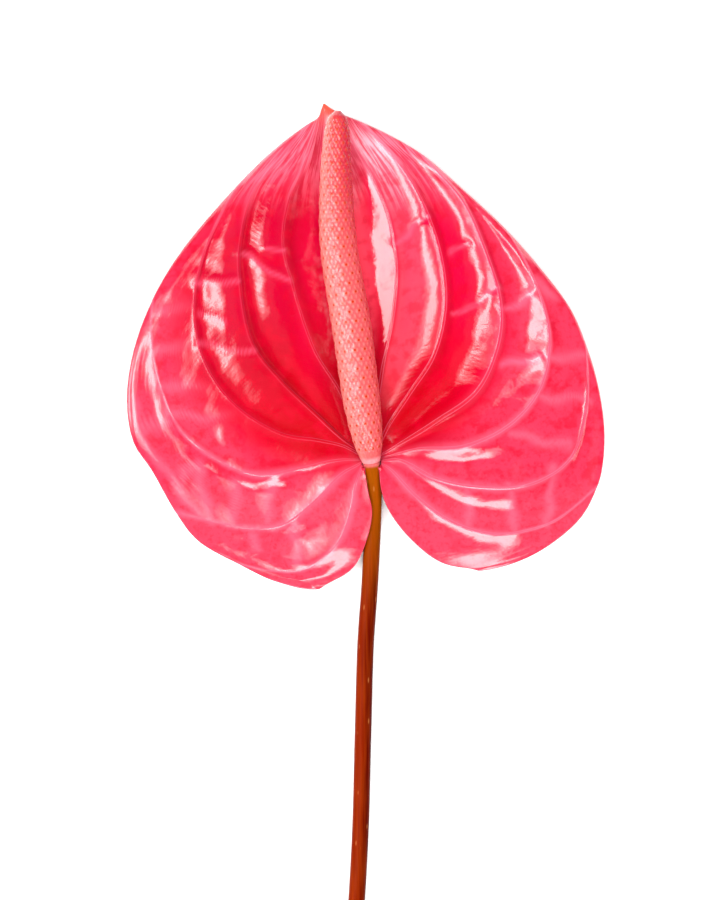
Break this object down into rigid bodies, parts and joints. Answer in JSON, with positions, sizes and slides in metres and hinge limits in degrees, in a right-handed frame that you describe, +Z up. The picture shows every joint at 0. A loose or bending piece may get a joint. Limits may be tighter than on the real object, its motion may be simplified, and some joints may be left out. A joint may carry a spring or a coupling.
{
  "type": "cut anthurium stem",
  "caption": "Cut anthurium flower lying on its back: glossy heart-shaped red spathe with raised veins, salmon spadix and slim russet stem.",
  "frame": {"origin": "middle of the base of the bounding box, on the surface that the flower lies on", "axes": "+Y from the cut end towards the tip of the spathe, +Z up out of the spathe's glossy face"},
  "size_m": [0.1314, 0.4014, 0.0146],
  "materials": {
    "peduncle_skin": "smooth russet plant skin, semi-gloss",
    "spathe_blade": "waxy red-pink leaf surface, high gloss above and duller below",
    "spadix_florets": "fine salmon florets with small orange stigmas, satin"
  },
  "bodies": {
    "root": {"peduncle": "peduncle_skin", "spathe": "spathe_blade", "spadix": "spadix_florets"}
  },
  "joints": []
}
